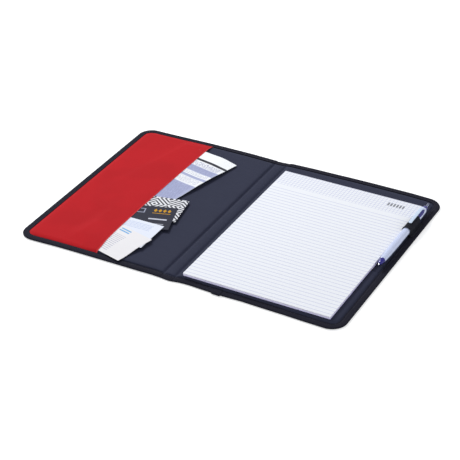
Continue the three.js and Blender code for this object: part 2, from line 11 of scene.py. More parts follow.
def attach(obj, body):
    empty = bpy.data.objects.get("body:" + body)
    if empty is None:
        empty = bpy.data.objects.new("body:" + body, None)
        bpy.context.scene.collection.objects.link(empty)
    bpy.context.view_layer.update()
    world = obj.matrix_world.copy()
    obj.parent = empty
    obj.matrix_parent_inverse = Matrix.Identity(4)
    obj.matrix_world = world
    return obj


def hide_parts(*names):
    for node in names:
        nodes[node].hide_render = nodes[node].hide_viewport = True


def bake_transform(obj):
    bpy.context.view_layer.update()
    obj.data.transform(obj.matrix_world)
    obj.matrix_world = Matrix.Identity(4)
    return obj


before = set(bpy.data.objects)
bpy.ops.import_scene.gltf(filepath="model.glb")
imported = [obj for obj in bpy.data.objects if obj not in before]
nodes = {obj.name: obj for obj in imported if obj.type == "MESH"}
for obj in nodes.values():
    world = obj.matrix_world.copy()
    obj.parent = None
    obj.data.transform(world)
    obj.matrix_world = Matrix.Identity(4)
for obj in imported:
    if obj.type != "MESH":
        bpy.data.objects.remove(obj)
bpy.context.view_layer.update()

scene = bpy.context.scene
mm = 0.001


# Node helpers

def colour(red, green, blue):  # from 0 to 255 as seen, to the linear values that nodes take
    seen = np.array((red, green, blue)) / 255
    linear = np.where(seen <= 0.04045, seen / 12.92, ((seen + 0.055) / 1.055) ** 2.4)
    return tuple(linear.tolist())


class Made:  # a node and the output in use: arithmetic on it makes math nodes
    def __init__(self, graph, node, output=0):
        self.graph = graph
        self.node = node
        self.output = output

    def __getitem__(self, output):
        return Made(self.graph, self.node, output)

    def __add__(self, other):
        return self.graph.math("ADD", self, other)

    def __sub__(self, other):
        return self.graph.math("SUBTRACT", self, other)

    def __mul__(self, other):
        return self.graph.math("MULTIPLY", self, other)

    def __mod__(self, other):
        return self.graph.math("FLOORED_MODULO", self, other)

    def __abs__(self):
        return self.graph.math("ABSOLUTE", self)


class Graph:
    def __init__(self, tree):
        self.tree = tree

    def node(self, kind, inputs=None, **settings):
        node = self.tree.nodes.new(kind)
        for name, value in settings.items():
            setattr(node, name, value)
        for name, value in (inputs or {}).items():
            self.link(value, node.inputs[name])
        return Made(self, node)

    def link(self, value, socket):
        if isinstance(value, Made):
            self.tree.links.new(value.node.outputs[value.output], socket)
        elif socket.type == "RGBA":
            socket.default_value = (*value, 1)
        else:
            socket.default_value = value

    def math(self, operation, first, second=0.0):
        return self.node("ShaderNodeMath", {0: first, 1: second}, operation=operation)


class Shader(Graph):
    def __init__(self, name, base, roughness, gloss=0.5, more=None):
        self.material = bpy.data.materials.new(name)
        self.material.use_nodes = True
        self.material.diffuse_color = (*base, 1)
        super().__init__(self.material.node_tree)
        self.base = base
        self.bsdf = self.tree.nodes["Principled BSDF"]
        self.set({"Base Color": base, "Roughness": roughness, "Specular IOR Level": gloss})
        self.set(more or {})

    def set(self, sockets):
        for name, value in sockets.items():
            self.link(value, self.bsdf.inputs[name])

    def tone(self, low, high, factor):  # the base colour, darker and lighter by a factor map
        dark = tuple(c * low for c in self.base)
        light = tuple(min(c * high, 1) for c in self.base)
        return self.mix(factor, dark, light)

    def printOn(self, mask, paint):  # over what the paper shows so far
        self.shade = self.mix(mask, self.shade, paint)
        self.set({"Base Color": self.shade})

    def between(self, value, low, high, outLow=0.0, outHigh=1.0):  # smooth ramp from low to high
        return self.node("ShaderNodeMapRange",
                         {"Value": value, "From Min": low, "From Max": high,
                          "To Min": outLow, "To Max": outHigh}, interpolation_type="SMOOTHSTEP")

    def inside(self, value, low, high, soft=0.15):  # 1 between low and high
        return (self.between(value, low - soft, low + soft)
                * self.between(value, high - soft, high + soft, 1, 0))

    def rectangle(self, x, y, box, soft=0.15):  # left, right, low and high
        return self.inside(x, box[0], box[1], soft) * self.inside(y, box[2], box[3], soft)

    def lines(self, value, pitch, width, start=0.0, soft=0.08):  # 1 on lines that repeat
        off = abs((value + (pitch / 2 - start)) % pitch - pitch / 2)
        return self.between(off, width / 2 - soft, width / 2 + soft, 1, 0)

    def wave(self, value, pitch):  # 0 to 1 and back over each pitch
        return self.math("SINE", value * (2 * math.pi / pitch)) * 0.5 + 0.5

    def mix(self, factor, first, second):
        return self.node("ShaderNodeMix", {"Factor": factor, 6: first, 7: second},
                         data_type="RGBA")[2]

    def lay(self):  # the piece's own map, in millimetres
        return self.node("ShaderNodeUVMap", uv_map="lay")

    def local(self, place=(0, 0, 0), turn=0.0):  # millimetres from a place, turned about Z
        return self.node("ShaderNodeMapping",
                         {"Vector": self.node("ShaderNodeTexCoord")["Object"],
                          "Location": [c * mm for c in place],
                          "Rotation": (0, 0, math.radians(turn)), "Scale": (mm, mm, mm)},
                         vector_type="TEXTURE")

    def scaled(self, vector, factors):
        return self.node("ShaderNodeVectorMath", {0: vector, 1: factors}, operation="MULTIPLY")

    def parts(self, vector):
        node = self.node("ShaderNodeSeparateXYZ", {0: vector})
        return node[0], node[1], node[2]

    def noise(self, vector, scale, detail=2.0, roughness=0.5):
        return self.node("ShaderNodeTexNoise", {"Vector": vector, "Scale": scale,
                                                "Detail": detail, "Roughness": roughness})

    def cells(self, vector, scale):
        return self.node("ShaderNodeTexVoronoi", {"Vector": vector, "Scale": scale})

    def bump(self, height, distance, strength=1.0):  # distance in millimetres
        self.set({"Normal": self.node("ShaderNodeBump", {
            "Strength": strength, "Distance": distance * mm, "Height": height})})


# Camera, floor and light

view = {"aim": (7.1, -25.8, 0.0), "distance": 2114.4, "azimuth": 28.50, "elevation": 32.30,
        "roll": -0.41, "lens": 121.63}

studio = {"worldStrength": 0.36, "worldTint": (0.95, 0.97, 1), "lampTint": (0.975, 0.985, 1.0),
          "floorGlow": 0.52, "floorColour": (0.8, 0.8, 0.8), "floorReach": 6.0,
          "floorDepth": -0.0002}
lamps = {"key": {"power": 45.0, "size": 0.7, "place": (-1500, 1000, 1700)},
         "fill": {"power": 10.5, "size": 2.0, "place": (1900, -300, 950)},
         "front": {"power": 13.0, "size": 1.4, "place": (300, -2100, 360)}}


def makeCamera():
    azimuth, elevation = math.radians(view["azimuth"]), math.radians(view["elevation"])
    back = Vector((math.sin(azimuth) * math.cos(elevation),
                   -math.cos(azimuth) * math.cos(elevation), math.sin(elevation)))
    data = bpy.data.cameras.new("camera")
    data.lens = view["lens"]
    data.sensor_width = 36
    data.clip_start = 0.05
    data.clip_end = 50
    camera = bpy.data.objects.new("camera", data)
    turn = (-back).to_track_quat("-Z", "Y").to_matrix().to_4x4()
    roll = Matrix.Rotation(math.radians(view["roll"]), 4, "Z")
    place = (Vector(view["aim"]) + back * view["distance"]) * mm
    camera.matrix_world = Matrix.Translation(place) @ turn @ roll
    scene.collection.objects.link(camera)
    scene.camera = camera


def makeLamp(name, power, size, place):
    data = bpy.data.lights.new(name, "AREA")
    data.energy = power
    data.size = size
    data.color = studio["lampTint"]
    lamp = bpy.data.objects.new(name, data)
    lamp.location = Vector(place) * mm
    lamp.rotation_mode = "QUATERNION"
    lamp.rotation_quaternion = (-lamp.location).to_track_quat("-Z", "Y")
    scene.collection.objects.link(lamp)


def emptyGraph(owner):
    owner.use_nodes = True
    owner.node_tree.nodes.clear()
    return Graph(owner.node_tree)


def show(graph, output, lit, shown):  # shown is for camera, glossy and transmission rays
    path = graph.node("ShaderNodeLightPath")
    seen = graph.math("MAXIMUM", path["Is Camera Ray"], path["Is Glossy Ray"])
    seen = graph.math("MAXIMUM", seen, path["Is Transmission Ray"])
    graph.node(output, {"Surface": graph.node("ShaderNodeMixShader",
                                              {"Fac": seen, 1: lit, 2: shown})})


def makeWorld():
    scene.world = bpy.data.worlds.new("studio")
    graph = emptyGraph(scene.world)
    lit = graph.node("ShaderNodeBackground", {"Color": studio["worldTint"],
                                              "Strength": studio["worldStrength"]})
    shown = graph.node("ShaderNodeBackground", {"Color": (1, 1, 1), "Strength": 1})
    show(graph, "ShaderNodeOutputWorld", lit, shown)


def makeFloor():
    reach = studio["floorReach"]
    mesh = bpy.data.meshes.new("floor")
    mesh.from_pydata([(x * reach, y * reach, studio["floorDepth"])
                      for x, y in ((-1, -1), (1, -1), (1, 1), (-1, 1))], [], [(0, 1, 2, 3)])
    floor = bpy.data.objects.new("floor", mesh)
    scene.collection.objects.link(floor)
    material = bpy.data.materials.new("pale floor")
    graph = emptyGraph(material)
    matt = graph.node("ShaderNodeBsdfDiffuse", {"Color": studio["floorColour"]})
    glow = graph.node("ShaderNodeEmission", {"Strength": studio["floorGlow"]})
    show(graph, "ShaderNodeOutputMaterial", matt,
         graph.node("ShaderNodeAddShader", {0: glow, 1: matt}))
    mesh.materials.append(material)


scene.view_settings.view_transform = "Standard"
makeCamera()
makeWorld()
makeFloor()
for name, lamp in lamps.items():
    makeLamp(name, **lamp)
print("stage: camera, light and floor")


# Materials of cloth, board and thread

def liningCloth(name, mapped):  # woven, with pulls across
    shader = Shader(name, colour(46, 49, 67), 0.8, 0.12)
    place = shader.lay() if mapped else shader.local()
    across, along, _ = shader.parts(place)
    threads = shader.wave(across, 0.7) * shader.wave(along, 0.7)
    speck = shader.noise(place, 1.8, 3)
    patch = shader.noise(place, 0.03, 2)
    pull = shader.noise(shader.scaled(place, (0.15, 1, 1)), 0.2, 2)
    shader.set({"Base Color": shader.tone(0.75, 1.3, speck * 0.6 + (patch + pull) * 0.2)})
    shader.bump(threads * 0.6 + speck + pull * 2.2, 0.08)
    return shader.material


def leatherMaterial():
    shader = Shader("cover skin", colour(26, 27, 37), 0.55, 0.22)
    place = shader.lay()
    pebbles = shader.cells(place, 0.75)
    fine = shader.noise(place, 2.2, 4)
    broad = shader.noise(place, 0.05, 3)
    shader.set({"Base Color": shader.tone(0.6, 1.5, fine * 0.6 + broad * 0.4),
                "Roughness": shader.between(pebbles, 0.1, 0.7, 0.45, 0.7)})
    shader.bump(pebbles + fine * 0.4, 0.25)
    return shader.material


def tapeMaterial():  # ribs across the tape, puckers at the stitches
    shader = Shader("binding tape", colour(26, 26, 38), 0.85, 0.12)
    along, across, _ = shader.parts(shader.lay())
    ribs = shader.wave(across, 0.75)
    threads = shader.wave(along, 0.55)
    pucker = shader.wave(along, 2.8) * shader.inside(across, 1.0, 3.4, 0.8)
    fine = shader.noise(shader.lay(), 1.3, 3)
    shader.set({"Base Color": shader.tone(0.6, 1.5, ribs * 0.4 + fine * 0.6)})
    shader.bump(ribs * 0.6 + (threads * 0.3 + pucker), 0.16)
    return shader.material


def fibreMaterial(name, base, grain, roughness, depth, low=0.8, high=1.15):
    shader = Shader(name, base, roughness, 0.3)
    fibres = shader.noise(shader.local(), grain, 4, 0.65)
    shader.set({"Base Color": shader.tone(low, high, fibres)})
    shader.bump(fibres, depth)
    return shader.material


skinMaterial = leatherMaterial()
liningMaterial = liningCloth("navy lining", True)
padPocketMaterial = liningCloth("navy pocket cloth", False)
bindingMaterial = tapeMaterial()
threadMaterial = fibreMaterial("black thread", colour(50, 51, 64), 6.0, 0.7, 0.05, 0.7, 1.4)
redThreadMaterial = fibreMaterial("red thread", colour(214, 58, 62), 6.0, 0.8, 0.05, 0.8, 1.2)
boardMaterial = fibreMaterial("grey board", (0.33, 0.28, 0.21), 0.8, 0.95, 0.08)
foamMaterial = fibreMaterial("foam sheet", (0.70, 0.68, 0.60), 1.5, 1.0, 0.15)
print("stage: cloth and board materials")


# Mesh helpers: points in millimetres

def standIn(piece, slot, *names):  # the piece takes the place of these CAD nodes
    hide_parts(*names)


def buildPiece(name, places, faces, material, body, crisp=None, lay=None):
    mesh = bpy.data.meshes.new(name)
    mesh.from_pydata((np.asarray(places) * mm).tolist(), [], [list(map(int, f)) for f in faces])
    mesh.validate()
    if lay is not None:
        layer = mesh.uv_layers.new(name="lay")
        corner = np.empty(len(mesh.loops), dtype=np.int32)
        mesh.loops.foreach_get("vertex_index", corner)
        layer.data.foreach_set("uv", np.asarray(lay)[corner].astype(np.float32).ravel())
    mesh.shade_smooth()
    if crisp:
        mesh.set_sharp_from_angle(angle=math.radians(crisp))
    mesh.materials.append(material)
    piece = bpy.data.objects.new(name, mesh)
    scene.collection.objects.link(piece)
    if body:
        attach(piece, body)
    return piece


# Closed sheet from two point grids
def sheetPiece(name, top, bottom, material, body=None, crisp=50):
    count = top.shape[0] * top.shape[1]
    index = np.arange(count).reshape(top.shape[:2])
    upper = np.stack([index[:-1, :-1], index[:-1, 1:], index[1:, 1:], index[1:, :-1]], -1)
    upper = upper.reshape(-1, 4)
    rim = np.concatenate([index[0, :], index[1:, -1], index[-1, -2::-1], index[-2:0:-1, 0]])
    after = np.roll(rim, -1)
    walls = np.stack([rim, rim + count, after + count, after], -1)
    faces = np.concatenate([upper, upper[:, ::-1] + count, walls])
    both = np.concatenate([top.reshape(-1, 3), bottom.reshape(-1, 3)])
    return buildPiece(name, both, faces, material, body, crisp, both[:, :2])


# Section rings one after the other, each counter-clockwise seen along the path
def sweptPiece(name, stations, material, body, crisp=None, closed=False, lay=None):
    stations = np.asarray(stations)
    rings, around = stations.shape[:2]
    index = np.arange(rings * around).reshape(rings, around)
    after = np.roll(index, -1, axis=1)
    ahead = np.roll(index, -1, axis=0)
    walls = np.stack([index, after, np.roll(after, -1, axis=0), ahead], -1)
    faces = list(walls[:rings if closed else rings - 1].reshape(-1, 4))
    if not closed:
        faces += [index[0, ::-1], index[-1]]
    return buildPiece(name, stations.reshape(-1, 3), faces, material, body, crisp, lay)


def steps(low, high, pitch, exact=()):  # even steps that also pass through exact values
    exact = np.array([value for value in exact if low <= value <= high])
    even = np.linspace(low, high, max(2, int(round((high - low) / pitch)) + 1))
    if len(exact):
        near = np.abs(even[:, None] - exact[None, :]).min(1)
        even = even[(near > pitch * 0.45) | (even == low) | (even == high)]
    return np.unique(np.round(np.concatenate([even, exact]), 3))


def ripple(x, y, size, seed, waves=7):  # smooth random height from 0 to 1
    draw = np.random.default_rng(seed)
    total = np.zeros_like(x, dtype=float)
    for _ in range(waves):
        heading, phase = draw.uniform(0, math.pi), draw.uniform(0, 2 * math.pi)
        length = size * draw.uniform(0.6, 1.7)
        total += np.sin((x * math.cos(heading) + y * math.sin(heading)) * 2 * math.pi / length
                        + phase)
    return np.clip(0.5 + total / waves / 1.6, 0, 1)


def points(x, y, z):
    return np.stack(np.broadcast_arrays(x, y, z), -1)


def lengthsAlong(line):
    return np.concatenate([[0], np.cumsum(np.linalg.norm(np.diff(line, axis=0), axis=1))])


def bell(value, middle, half):
    return np.exp(-((value - middle) / half) ** 2)


def smooth(value):  # eased step from 0 to 1
    value = np.clip(value, 0, 1)
    return value * value * (3 - 2 * value)


# Covers: lining, skin, padding and binding, each in two halves that meet on the spine

cover = {"half": 171.0, "radius": 21.0, "innerRadius": 3.0, "spineMiddle": 8.75, "bend": 1.65}
aboveAll = 99.0  # where a limit on the height doesn't hold
sides = {"back": {"hinge": 0.0, "turn": 1, "width": 240.0, "seed": 11,
                  "crease": ((-8.75, -4, -2, -1, 0, 1, 2, 3.4, 6),
                             (3.8, 3.8, 3.1, 2.3, 1.9, 2.3, 3.1, 4.15, 4.5))},
         "front": {"hinge": -17.5, "turn": -1, "width": 222.5, "seed": 12,
                   "crease": ((-8.75, -3, -1.8, -0.9, 0, 0.9, 1.8, 3, 5),
                              (3.8, 3.8, 3.0, 2.2, 1.85, 2.2, 3.1, 4.2, 4.5))}}
uneven = {"fadeFrom": 70.0, "fadeTo": 155.0, "outer": 0.8, "outerFrom": -150.0,
          "outerOver": 80.0,
          "head": ((-240, -210, -180, -150, -120, -60, -30, -12, -4, 6, 40, 70, 100, 130, 190,
                    220, 240),
                   (-3.6, -3.4, -2.4, -1.2, -0.3, 0, -1.0, -1.5, -0.6, 1.2, 2.8, 3.3, 4.2, 4.6,
                    4.6, 3.2, 1.5)),
          "tail": ((-240, -210, -180, -150, -100, -48, -32, -16, -8, -3, 2, 8, 14, 26, 40, 70,
                    100, 130, 160, 190, 220, 240),
                   (3.0, 2.8, 1.2, 0.6, 0.3, 0, -0.5, 0.4, 1.5, 1.5, 0.6, -0.8, -1.3, -1.7, -0.9,
                    0.2, -0.9, -0.1, 0.4, 1.4, 1.8, 1.0))}


# A half reaches past the crease into the spine; it is baked in place and hides its CAD nodes
def joinHalf(piece, side, slot, node, *spineNodes):
    hinge, reach = sides[side]["hinge"], cover["bend"] * sides[side]["turn"]
    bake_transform(piece)
    standIn(piece, slot, side + "_" + node, *(spineNodes if side == "back" else ()))


def shifted(x, y):  # the covers' edges as they lie, not quite straight
    fade = smooth((np.abs(y) - uneven["fadeFrom"]) / (uneven["fadeTo"] - uneven["fadeFrom"]))
    ends = np.where(y > 0, np.interp(x, *uneven["head"]), -np.interp(x, *uneven["tail"]))
    outer = np.clip((uneven["outerFrom"] - x) / uneven["outerOver"], 0, 1) ** 2
    return x - uneven["outer"] * outer, y + fade * ends


def coverSheet(name, x, y, top, low, material, body=None):
    over, under = (points(*shifted(x, y), height) for height in (top, low))
    return sheetPiece(name, over, under, material, body)


# Grid of a layer: x and y, distance from the crease, inset from the edge. It has lines at the
# given distances, at insets from the outer edge and the two ends, and at the given y.
def coverGrid(side, layer, start, sLines=(), edges=(), ends=(), yLines=(), yTo=None):
    width, inset, step = sides[side]["width"], layer["inset"], layer["step"]
    reach, half = width - inset, cover["half"] - inset
    radius = max(cover["radius"] - inset, cover["innerRadius"])
    endLines = cover["half"] - np.array(ends)
    s, y = np.meshgrid(
        steps(start, reach, step, [*sLines, *(width - np.array(edges))]),
        steps(-half, yTo or half, step, [*yLines, *endLines, *-endLines]))
    if sides[side]["turn"] < 0:
        s, y = s[:, ::-1], y[:, ::-1]
    p = np.clip((s - (reach - radius)) / radius, 0, 1)
    q = np.clip((np.abs(y) - (half - radius)) / radius, 0, 1)
    roundP, roundQ = p * np.sqrt(1 - q * q / 2), q * np.sqrt(1 - p * p / 2)
    corner = (p > 0) & (q > 0)
    s = np.where(corner, reach - radius + roundP * radius, s)
    y = np.where(corner, np.sign(y) * (half - radius + roundQ * radius), y)
    depth = np.where(corner, radius * (1 - np.hypot(roundP, roundQ)),
                     np.minimum(reach - s, half - np.abs(y))) + inset
    return sides[side]["hinge"] + sides[side]["turn"] * s, y, s, depth


lining = {"inset": 6.0, "thickness": 0.4, "step": 3.5,
          "edge": ((6, 10.65, 11.1, 11.65, 12.6, 13.9, 15.4, 17.3, 26),
                   (1.8, 1.8, 2.6, 3.3, 3.75, 4.1, 4.33, 4.45, 4.5)),
          "puff": 0.3, "wave": 55.0, "puffFrom": 2.2, "puffOver": 2.0, "seamFade": 6.0}


def liningTop(side, x, y, s, depth):
    height = np.minimum(np.interp(depth, *lining["edge"]), np.interp(s, *sides[side]["crease"]))
    slack = (np.clip((height - lining["puffFrom"]) / lining["puffOver"], 0, 1)
             * np.clip((s + cover["spineMiddle"]) / lining["seamFade"], 0, 1))
    return height - slack * lining["puff"] * ripple(x, y, lining["wave"], sides[side]["seed"])


def halfGrid(side, layer, crease):  # from the spine's middle, with lines where the profiles bend
    edge = layer["edge"][0]
    return coverGrid(side, layer, -cover["spineMiddle"], crease[0], edge, edge)


def layCloth(piece, side, **more):  # flat, a half reaches from the edge to the spine's middle
    (sides[side]["width"] + cover["spineMiddle"]) * mm
    cover["half"] * 2 * mm


def makeLining(side):
    x, y, s, depth = halfGrid(side, lining, sides[side]["crease"])
    top = liningTop(side, x, y, s, depth)
    piece = coverSheet(side + "LiningCloth", x, y, top, top - lining["thickness"],
                       liningMaterial)
    joinHalf(piece, side, "lining", "lining", "spine_lining")
    width = sides[side]["width"] - lining["inset"] + cover["spineMiddle"]
    layCloth(piece, side, area=width * (cover["half"] - lining["inset"]) * 2 * mm * mm)


skin = {"inset": 0.8, "thickness": 1.3, "step": 4.0,
        "edge": ((0.8, 9.0, 9.6, 10.2, 12), (0.8, 0.8, 0.45, 0.02, 0.0)),
        "crease": ((-8.75, -1.6, -0.8, 0, 0.8, 1.6, 4), (0, 0, 0.2, 0.35, 0.2, 0, 0))}


def makeSkin(side):
    x, y, s, depth = halfGrid(side, skin, skin["crease"])
    low = np.maximum(np.interp(depth, *skin["edge"]), np.interp(s, *skin["crease"]))
    piece = coverSheet(side + "Skin", x, y, skin["thickness"], low, skinMaterial)
    joinHalf(piece, side, "cover_skin", "outer_skin", "spine_outer_skin")
    layCloth(piece, side)


padding = {"inset": 14.2, "crease": 5.05, "low": 3.1, "step": 5.0, "gap": 0.08, "least": 3.3,
           "fill": 0.3}
board = {"inset": 12.4, "crease": 3.65, "low": 1.4, "top": 3.0, "step": 8.0}


def makePadding(side):
    x, y, s, depth = coverGrid(side, padding, padding["crease"])
    top = liningTop(side, x, y, s, depth) - lining["thickness"] - padding["gap"]
    piece = coverSheet(side + "Foam", x, y, np.maximum(top, padding["least"]), padding["low"],
                       foamMaterial, side + "_cover")
    standIn(piece, "padding", side + "_padding")
    padding["fill"]


def makeBoard(side):
    x, y, _, _ = coverGrid(side, board, board["crease"])
    piece = coverSheet(side + "Board", x, y, board["top"], board["low"], boardMaterial,
                       side + "_cover")
    standIn(piece, "grey_board", side + "_board")


binding = {"width": 9.0, "tape": 0.7, "top": 3.1, "spineTop": 2.6, "groove": 7.0,
           "crease": ((-4, -1.2, 0, 1.2, 2.6, 4), (2.6, 2.5, 2.15, 2.55, 3.0, 3.1)),
           "lineAt": (-4, -2.4, -1.65, -1, -0.5, 0, 0.5, 1, 1.65, 2.4, 3.2, 5),
           "pitch": 3.0, "cornerSteps": 14, "wobble": 0.06,
           "rawFrom": 8.0, "foldTo": 1.0,  # insets: the tape's raw edge wobbles, its fold is lapped
           "lap": 1.7, "lapRise": 0.45, "lapAt": (57.0, 59.0, 70.4, 70.7)}  # at the tail


def bindingPath(side):  # stations from the spine along the head, round, and back along the tail
    width, half, radius = sides[side]["width"], cover["half"], cover["radius"]
    run = steps(-cover["spineMiddle"], width - radius, binding["pitch"],
                [*binding["lineAt"], *binding["lapAt"]])
    turn = np.radians(np.linspace(90, 0, binding["cornerSteps"] + 1))
    down = steps(-(half - radius), half - radius, binding["pitch"])[::-1]
    head = [(s, half, 0.0, 1.0) for s in run[:-1]]
    head += [(width - radius + radius * math.cos(a), half - radius + radius * math.sin(a),
              math.cos(a), math.sin(a)) for a in turn]
    outer = [(width, y, 1.0, 0.0) for y in down[1:-1]]
    tail = [(s, -y, outX, -outY) for s, y, outX, outY in head[::-1]]
    return np.array(head + outer + tail)


def bindingSection(top):  # inset and height, round the tape
    tape, width, groove = binding["tape"], binding["width"], binding["groove"]
    outside = [(width, top - 0.25), (width - 0.25, top), (groove + 0.9, top), (groove, top - 0.28),
               (groove - 0.9, top), (4.5, top), (2.2, top - 0.03), (1.1, top - 0.22),
               (0.4, top - 0.65), (0.06, top - 1.15), (0.0, top / 2), (0.06, 1.15), (0.4, 0.6),
               (1.1, 0.2), (2.2, 0.03), (4.5, 0.0), (groove - 0.9, 0.0), (groove, 0.15),
               (groove + 0.9, 0.0), (width - 0.25, 0.0), (width, 0.2)]
    inside = [(width, tape), (2.0, tape), (1.1, 1.1), (0.85, top / 2), (1.1, top - 1.1),
              (2.0, top - tape), (width, top - tape)]
    return np.array(outside + inside)


def makeBinding(side):
    path = bindingPath(side)
    stations, lays, travelled = [], [], 0.0
    draw = np.random.default_rng(sides[side]["seed"] + 20)
    wobble = draw.uniform(-binding["wobble"], binding["wobble"], len(path))
    for k, (s, y, outX, outY) in enumerate(path):
        top = float(np.interp(s, *binding["crease"]))
        onLap = side == "back" and outY < 0 and binding["lapAt"][0] < s < binding["lapAt"][-1]
        lap = binding["lap"] if onLap else 0.0
        section = bindingSection(top + binding["lapRise"] * lap)
        if k:
            travelled += math.hypot(s - path[k - 1][0], y - path[k - 1][1])
        length = lengthsAlong(section)
        raw, fold = section[:, 0] > binding["rawFrom"], section[:, 0] < binding["foldTo"]
        inset = section[:, 0] + raw * wobble[k] - lap * fold
        ringX = sides[side]["hinge"] + sides[side]["turn"] * (s - outX * inset)
        ring = points(*shifted(ringX, y - outY * inset), section[:, 1])
        if sides[side]["turn"] < 0:
            ring, length = ring[::-1], length[::-1]
        stations.append(ring)
        lays.append(np.stack([np.full(len(length), travelled), length], -1))
    piece = sweptPiece(side + "Binding", stations, bindingMaterial, None, 60,
                       lay=np.concatenate(lays))
    joinHalf(piece, side, "binding_tape", "binding", "spine_head_binding", "spine_tail_binding")


for side in sides:
    makeLining(side)
    makeSkin(side)
    makePadding(side)
    makeBoard(side)
    makeBinding(side)
print("stage: covers")


# Papers in the red pocket: each lies from its upper right corner, lowest first

papers = {
    "leaflet": {"size": (99, 210), "corner": (-62, 123), "turn": -14.2, "order": 0},
    "patterned_card": {"size": (90, 58), "corner": (-72.5, 3.2), "turn": 10, "order": 1},
    "dark_card": {"size": (90, 57), "corner": (-76.6, -21.1), "turn": 16, "order": 2},
    "pale_card": {"size": (90, 60), "corner": (-69.7, -71.3), "turn": -0.6, "order": 3},
    "note_card": {"size": (90, 62), "corner": (-67.2, -108.3), "turn": -15, "order": 4}}
stack = {"low": 4.6, "step": 0.35, "slope": 0.0192, "slopeFrom": -207.0, "thickness": 0.25,
         "grid": 3.0, "rim": 0.4, "least": 4.58, "slides": (0, 9, 18, 27, 36),
         "sewnFrom": -150.0, "sewnOver": 6.0, "sewnDrop": 0.38}


def paperLow(paper, x):  # height of a paper's underside
    return stack["low"] + paper["order"] * stack["step"] + (x - stack["slopeFrom"]) * stack["slope"]


droop = {"from": -128.0, "over": 32.0, "depth": 3.0}


def noteDroop(y):  # the card nearest the tail sinks towards the pocket's sewn end
    return -droop["depth"] * smooth((droop["from"] - y) / droop["over"])


def paperPoints(paper, across, down):  # from millimetres left and down of the corner to x and y
    turn = math.radians(paper["turn"])
    x = paper["corner"][0] - across * math.cos(turn) + down * math.sin(turn)
    y = paper["corner"][1] - across * math.sin(turn) - down * math.cos(turn)
    return x, y


def outsidePaper(paper, x, y, slid=0.0):  # how far a point lies outside a paper's outline
    turn = math.radians(paper["turn"])
    dx, dy = paper["corner"][0] + slid - x, paper["corner"][1] - y
    across = dx * math.cos(turn) + dy * math.sin(turn)
    down = -dx * math.sin(turn) + dy * math.cos(turn)
    width, height = paper["size"]
    return np.hypot(np.maximum(np.maximum(-across, across - width), 0),
                    np.maximum(np.maximum(-down, down - height), 0))


# Red front pocket: drapes over the papers, its mouth has a stitched hem

stitchLift = 0.05
pocket = {"thickness": 0.4, "mouth": -120.8, "sag": 3.0, "sagHalf": 162.0, "inset": 6.5,
          "tailEnd": 0.6, "tailFrom": -110.0, "tailOver": 50.0,
          "step": 2.5, "drape": 0.17, "gap": 0.12, "hem": 2.2, "hemAt": (0.35, 1.6, 2.2, 2.8),
          "groove": 0.22, "grooveHalf": 0.45, "lip": 0.12, "lipAt": 0.8, "lipHalf": 0.6,
          "smoothings": 10, "sink": 0.04, "wave": 48.0, "puff": 0.15, "seed": 41,
          "outer": ((6, 9.2, 10.9, 14, 26, 50), (2.3, 2.3, 3.8, 5.3, 6.85, 9)),
          "ends": ((6, 9.2, 9.8, 11.65, 12.9, 15, 24), (2.3, 2.3, 3.0, 4.4, 5.2, 6.6, 12))}


def smoothGrid(values, passes):  # a little softer each time, the edge kept
    for _ in range(passes):
        inner = (values[1:-1, 1:-1] * 4 + values[:-2, 1:-1] + values[2:, 1:-1]
                 + values[1:-1, :-2] + values[1:-1, 2:]) / 8
        values = values.copy()
        values[1:-1, 1:-1] = inner
    return values


def pocketMouth(y):
    sag = pocket["sag"] * (1 - (y / pocket["sagHalf"]) ** 2)
    tail = np.clip((pocket["tailFrom"] - y) / pocket["tailOver"], 0, 1)
    return pocket["mouth"] - sag + pocket["tailEnd"] * tail


def pocketMaterial():
    shader = Shader("red non-woven", colour(189, 30, 37), 0.9, 0.08, {"Sheen Weight": 0.03})
    place = shader.lay()
    fibres = shader.noise(place, 1.1, 5, 0.7)
    patch = shader.between(shader.noise(place, 0.016, 3), 0.4, 0.6)
    x, y, _ = shader.parts(place)
    emboss = shader.wave(x, 1.5) * shader.wave(y, 1.5)
    shade = shader.tone(0.8, 1.18, fibres * 0.84 + patch * 0.16)
    # painted highlight: the cloth turns paler in the last millimetre or so before the mouth, where
    # the hem's edge catches the light
    bow = y * y * (pocket["sag"] / pocket["sagHalf"] ** 2)
    lip = pocket["mouth"] - pocket["sag"]
    mouthHighlight = shader.between(x - bow, lip - 1.3, lip - 0.6)
    shader.set({"Base Color": shader.mix(mouthHighlight * 0.5, shade, colour(228, 88, 90))})
    shader.bump(fibres + emboss * 0.5, 0.12)
    return shader.material


def drapedHeight(x, y, depth):  # over the lining and over all that the papers cover as they slide
    height = np.interp(depth, *lining["edge"]) + pocket["gap"]
    for name, paper in papers.items():
        level = paperLow(paper, x) + stack["thickness"] + pocket["gap"]
        if name == "note_card":
            level = level + noteDroop(y)
        away = np.minimum.reduce([outsidePaper(paper, x, y, slid) for slid in stack["slides"]])
        height = np.maximum(height, level - pocket["drape"] * away)
    height = np.maximum(smoothGrid(height, pocket["smoothings"]), height - pocket["sink"])
    return height + pocket["puff"] * ripple(x, y, pocket["wave"], pocket["seed"])


